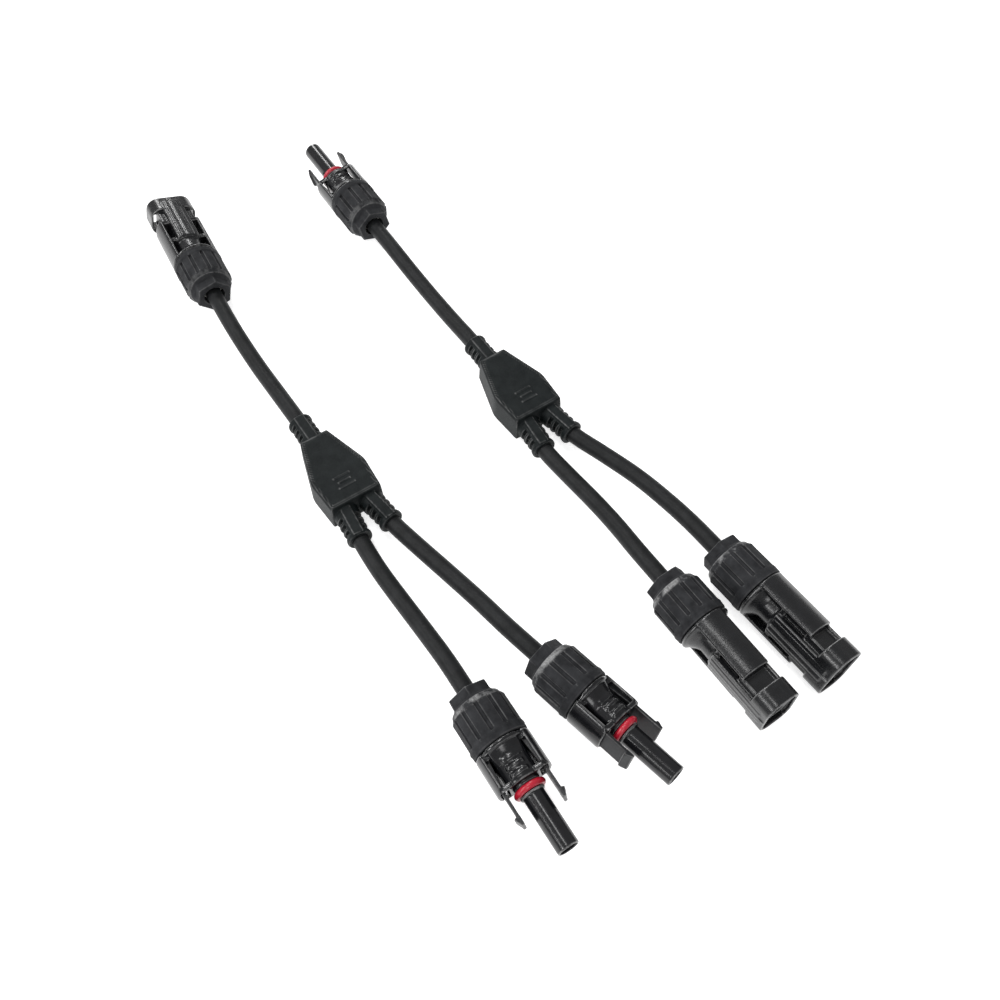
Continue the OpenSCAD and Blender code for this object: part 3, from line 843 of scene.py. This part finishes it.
# The ledges of the nuts carry a painted highlight with scuffs, painted lighter on the nuts of the branches
# than on those of the stems
NUT_DARK, NUT_LIGHT = (0.013, 0.0135, 0.015), (0.034, 0.035, 0.038)
LEDGE = (4.3, 6.8)
nut_plastic = plastic("nut_plastic", NUT_DARK, NUT_LIGHT, 0.68, 2200, 0.00014,
                      0.14, 0.12, (*LEDGE, 0.5))
stem_nut_plastic = plastic("stem_nut_plastic", NUT_DARK, NUT_LIGHT, 0.68, 2200, 0.00014,
                           0.14, 0.12, (*LEDGE, 0.16))
SHELL_DARK, SHELL_LIGHT = (0.004, 0.0042, 0.005), (0.009, 0.0094, 0.011)
shell_plastic = plastic("shell_plastic", SHELL_DARK, SHELL_LIGHT, 0.2, 1800, 0.00002, 0.3, 0.5)
socket_plastic = plastic("socket_plastic", SHELL_DARK, SHELL_LIGHT, 0.27, 1500, 0.00007, 0.26, 0.55)
latch_plastic = plastic("latch_plastic", (0.01, 0.0105, 0.012), (0.018, 0.019, 0.021),
                        0.38, 1800, 0.00003, 0.14, 0.3)
block_plastic = plastic("block_plastic", (0.006, 0.008, 0.0085), (0.013, 0.016, 0.0165),
                        0.5, 2600, 0.0001, 0.16, 0.1)
cable_rubber = plastic("cable_rubber", (0.008, 0.0085, 0.009), (0.017, 0.018, 0.019),
                       0.48, 2600, 0.00008, 0, 0.16)
seal_rubber = plastic("seal_rubber", (0.03, 0.03, 0.03), (0.05, 0.05, 0.05), 0.6, 2600, 0.00004)
red_rubber = plastic("red_rubber", (0.42, 0.01, 0.025), (0.52, 0.016, 0.04), 0.3, 1500, 0.00003)
clamp_plastic = plastic("clamp_plastic", (0.5, 0.5, 0.47), (0.62, 0.62, 0.59), 0.4, 1800, 0.00003)


def metal(name, dark, light, rough):
    material, tree, shader, where = new_material(name)
    shader.inputs["Metallic"].default_value = 1
    brushed = noise(tree, where, BRUSH_SCALE, 6, 0.7)
    tree.links.new(mix_colour(tree, brushed, dark, light), shader.inputs["Base Color"])
    tree.links.new(spread(tree, brushed, 0.3, 0.7, rough - 0.05, rough + 0.08), shader.inputs["Roughness"])
    bump(tree, shader, brushed, 0.00002, 0.3)
    return material


tin = metal("tin", (0.6, 0.61, 0.63), (0.8, 0.8, 0.8), 0.25)
copper = metal("copper", (0.72, 0.36, 0.2), (0.9, 0.5, 0.3), 0.3)

# The material for each ending of a name; where two fit, the later one is used
LOOKS = {
    "shell": shell_plastic, "a_stem_shell": socket_plastic, "b_branch1_shell": socket_plastic,
    "b_branch2_shell": socket_plastic, "cap": nut_plastic, "stem_cap": stem_nut_plastic,
    "arm_left": latch_plastic, "arm_right": latch_plastic,
    "moulding": block_plastic, "jacket": cable_rubber, "o_ring": red_rubber, "socket_contact": tin,
    "pin_contact": tin, "cable_seal": seal_rubber, "clamp_ring": clamp_plastic, "splice": copper,
    "conductors": copper,
}


def dress(piece):
    """Give the piece the material that its name asks for."""
    for ending, material in LOOKS.items():
        if piece.name.endswith(ending):
            piece.data.materials.clear()
            piece.data.materials.append(material)


for piece in [*pieces.values(), *cables.values(), *nodes.values()]:
    dress(piece)
for name, node in nodes.items():
    if name.endswith("o_ring"):
        node.data.shade_smooth()


# ---------- studio ----------

# Half the floor's width and how far it lies below the parts, in metres
FLOOR_HALF = 12
FLOOR_GAP = 0.0002
FLOOR_GLOW = 0.75
WORLD_GLOW = 0.38

corners = [(FLOOR_HALF * x, FLOOR_HALF * y, 0) for x, y in ((-1, -1), (1, -1), (1, 1), (-1, 1))]
floor_mesh = bpy.data.meshes.new("floor")
floor_mesh.from_pydata(corners, [], [(0, 1, 2, 3)])
floor = bpy.data.objects.new("floor", floor_mesh)
scene.collection.objects.link(floor)
floor.location.z = -FLOOR_GAP
material, tree, shader, where = new_material("floor_paint")
paper = mix_colour(tree, noise(tree, where, 3, 2), (0.9, 0.9, 0.9), (0.93, 0.93, 0.93))
tree.links.new(paper, shader.inputs["Base Color"])
tree.links.new(paper, shader.inputs["Emission Color"])
shader.inputs["Emission Strength"].default_value = FLOOR_GLOW
shader.inputs["Roughness"].default_value = 0.9
shader.inputs["Specular IOR Level"].default_value = 0.1
floor_mesh.materials.append(material)

world = bpy.data.worlds.new("studio")
world.use_nodes = True
backdrop = world.node_tree.nodes["Background"]
backdrop.inputs["Color"].default_value = (1, 1, 1, 1)
backdrop.inputs["Strength"].default_value = WORLD_GLOW
scene.world = world
scene.view_settings.view_transform = "Standard"


def soft_sun(name, towards, strength, angle):
    """A distant soft light that lies towards the given direction and is angle degrees wide."""
    light = bpy.data.lights.new(name, "SUN")
    light.energy = strength
    light.angle = math.radians(angle)
    lamp = bpy.data.objects.new(name, light)
    scene.collection.objects.link(lamp)
    lamp.rotation_euler = Vector(towards).to_track_quat("Z", "Y").to_euler()


soft_sun("key_light", (-0.44, -0.6, 0.67), 0.82, 9)
soft_sun("side_light", (-0.06, -0.84, 0.54), 0.55, 14)
soft_sun("overhead_light", (-0.2, -0.17, 0.96), 0.24, 10)
soft_sun("top_light", (-0.42, -0.06, 0.9), 0.55, 7)
soft_sun("back_light", (-0.78, 0.25, 0.56), 0.78, 12)
soft_sun("front_light", (0.64, -0.24, 0.73), 0.6, 22)
